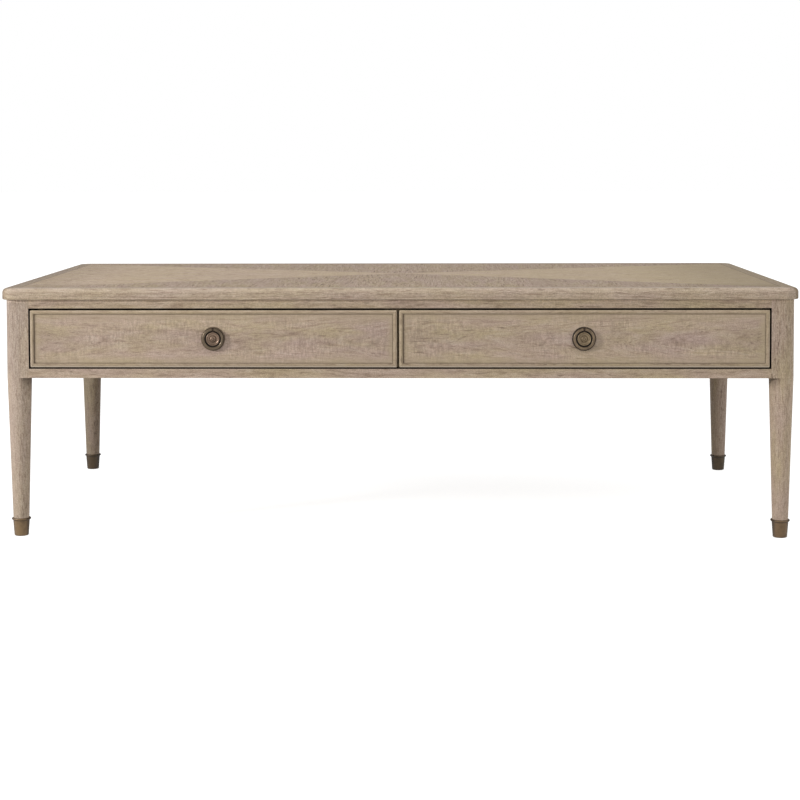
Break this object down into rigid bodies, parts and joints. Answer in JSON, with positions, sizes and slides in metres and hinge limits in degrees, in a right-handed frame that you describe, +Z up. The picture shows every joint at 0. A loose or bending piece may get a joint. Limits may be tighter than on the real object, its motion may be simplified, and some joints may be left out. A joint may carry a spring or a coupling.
{
  "type": "storage coffee table",
  "caption": "Low rectangular wooden coffee table with side-by-side inset drawers, bronze ring pulls, and round tapered legs in brass ferrules under an overhanging top with a mitred border.",
  "frame": {"origin": "on the floor under the middle of the table top", "axes": "+X to the table's right as seen from the drawer side, +Y towards the plain back, +Z up; the drawers open towards -Y"},
  "size_m": [1.45, 0.7661, 0.457],
  "materials": {
    "top_veneer": "open-grained oak veneer laid in four mitred quarters, washed grey, matt lacquer",
    "top_border": "oak border, washed grey, matt lacquer",
    "leg_oak": "turned oak, washed grey, dark glaze left in the grain",
    "frame_oak": "oak rails and aprons, washed grey, matt lacquer",
    "front_oak": "oak drawer fronts, washed grey, dark glaze in the quirk",
    "bead_oak": "oak cock bead, washed grey, glazed at its inner edge",
    "inner_wood": "plain planed hardwood, unfinished",
    "drawer_box": "planed maple, clear lacquer",
    "bottom_panel": "plywood, clear lacquer",
    "ferrule_brass": "aged brass, satin",
    "pull_bronze": "aged bronze, worn bright on the edges",
    "plate_bronze": "dark patinated bronze",
    "steel": "zinc-plated screws"
  },
  "bodies": {
    "table": {"top_panel": "top_veneer", "top_edge_front": "top_border", "top_edge_back": "top_border", "top_edge_left": "top_border", "top_edge_right": "top_border", "leg_front_left": "leg_oak", "ferrule_front_left": "ferrule_brass", "leg_front_right": "leg_oak", "ferrule_front_right": "ferrule_brass", "leg_back_left": "leg_oak", "ferrule_back_left": "ferrule_brass", "leg_back_right": "leg_oak", "ferrule_back_right": "ferrule_brass", "front_top_rail": "frame_oak", "front_bottom_rail": "frame_oak", "back_apron": "frame_oak", "side_apron_left": "frame_oak", "side_apron_right": "frame_oak", "centre_partition": "inner_wood", "runner_left_outer": "inner_wood", "runner_left_inner": "inner_wood", "kicker_left_outer": "inner_wood", "kicker_left_inner": "inner_wood", "guide_left": "inner_wood", "corner_block_left": "inner_wood", "runner_right_outer": "inner_wood", "runner_right_inner": "inner_wood", "kicker_right_outer": "inner_wood", "kicker_right_inner": "inner_wood", "guide_right": "inner_wood", "corner_block_right": "inner_wood", "drawer_stops": "inner_wood", "top_screws": "steel"},
    "drawer_left": {"drawer_left_front": "front_oak", "drawer_left_bead_top": "bead_oak", "drawer_left_bead_bottom": "bead_oak", "drawer_left_bead_left": "bead_oak", "drawer_left_bead_right": "bead_oak", "drawer_left_side_left": "drawer_box", "drawer_left_side_right": "drawer_box", "drawer_left_back": "drawer_box", "drawer_left_bottom": "bottom_panel", "drawer_left_pull_plate": "plate_bronze", "drawer_left_pull_rosette": "pull_bronze", "drawer_left_pull_screw": "steel"},
    "ring_left": {"drawer_left_pull_ring": "pull_bronze"},
    "drawer_right": {"drawer_right_front": "front_oak", "drawer_right_bead_top": "bead_oak", "drawer_right_bead_bottom": "bead_oak", "drawer_right_bead_left": "bead_oak", "drawer_right_bead_right": "bead_oak", "drawer_right_side_left": "drawer_box", "drawer_right_side_right": "drawer_box", "drawer_right_back": "drawer_box", "drawer_right_bottom": "bottom_panel", "drawer_right_pull_plate": "plate_bronze", "drawer_right_pull_rosette": "pull_bronze", "drawer_right_pull_screw": "steel"},
    "ring_right": {"drawer_right_pull_ring": "pull_bronze"}
  },
  "joints": [
    {"name": "drawer_left_slide", "type": "slide", "parent": "table", "child": "drawer_left", "axis": [0, -1, 0], "range_m": [0, 0.36]},
    {"name": "ring_left_swing", "type": "hinge", "parent": "drawer_left", "child": "ring_left", "pos_m": [-0.33615, -0.3804, 0.3822], "axis": [-1, 0, 0], "range_deg": [0, 90]},
    {"name": "drawer_right_slide", "type": "slide", "parent": "table", "child": "drawer_right", "axis": [0, -1, 0], "range_m": [0, 0.36]},
    {"name": "ring_right_swing", "type": "hinge", "parent": "drawer_right", "child": "ring_right", "pos_m": [0.33615, -0.3804, 0.3822], "axis": [-1, 0, 0], "range_deg": [0, 90]}
  ]
}
